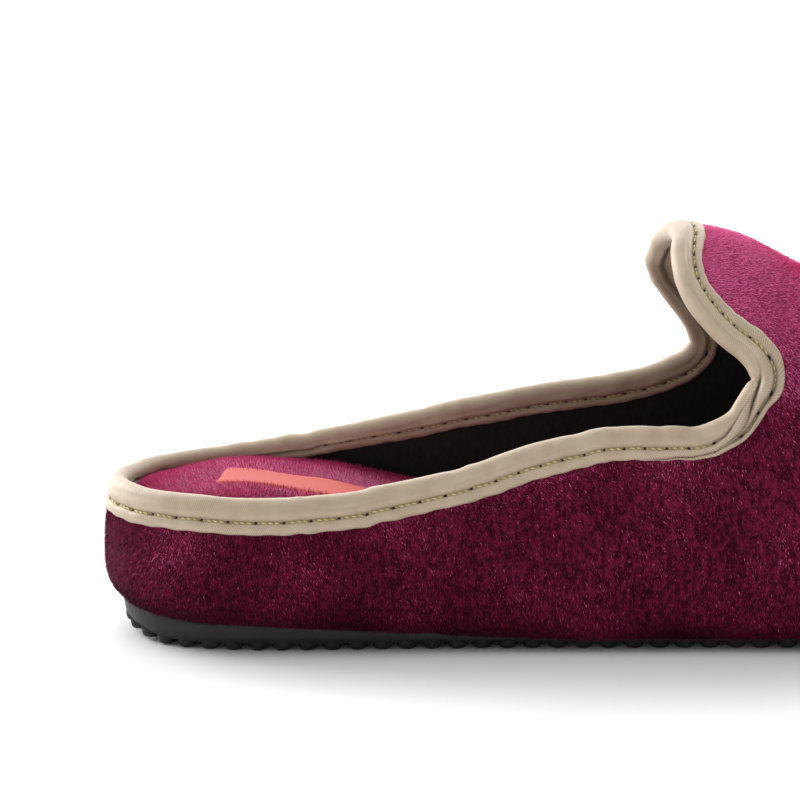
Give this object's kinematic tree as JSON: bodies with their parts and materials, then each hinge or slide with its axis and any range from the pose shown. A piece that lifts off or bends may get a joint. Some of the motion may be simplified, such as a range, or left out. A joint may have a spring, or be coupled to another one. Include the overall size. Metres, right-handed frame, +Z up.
{
  "type": "house slipper",
  "caption": "Right velvet house slipper with an open back, satin-bound collar, velvet-topped wedge footbed and a thin lugged rubber sole.",
  "frame": {"origin": "on the floor under the middle of the shoe's outline", "axes": "+X from the heel to the toe, +Y to the inner (medial) side of the foot, +Z up"},
  "size_m": [0.2556, 0.0924, 0.0947],
  "materials": {
    "outsole_rubber": "moulded black rubber, matt",
    "insole_velvet": "short pile velvet, magenta",
    "upper_velvet": "short pile velvet, burgundy",
    "binding_satin": "beige satin bias binding"
  },
  "bodies": {
    "root": {"outsole": "outsole_rubber", "insole": "insole_velvet", "upper": "upper_velvet", "binding": "binding_satin"}
  },
  "joints": []
}
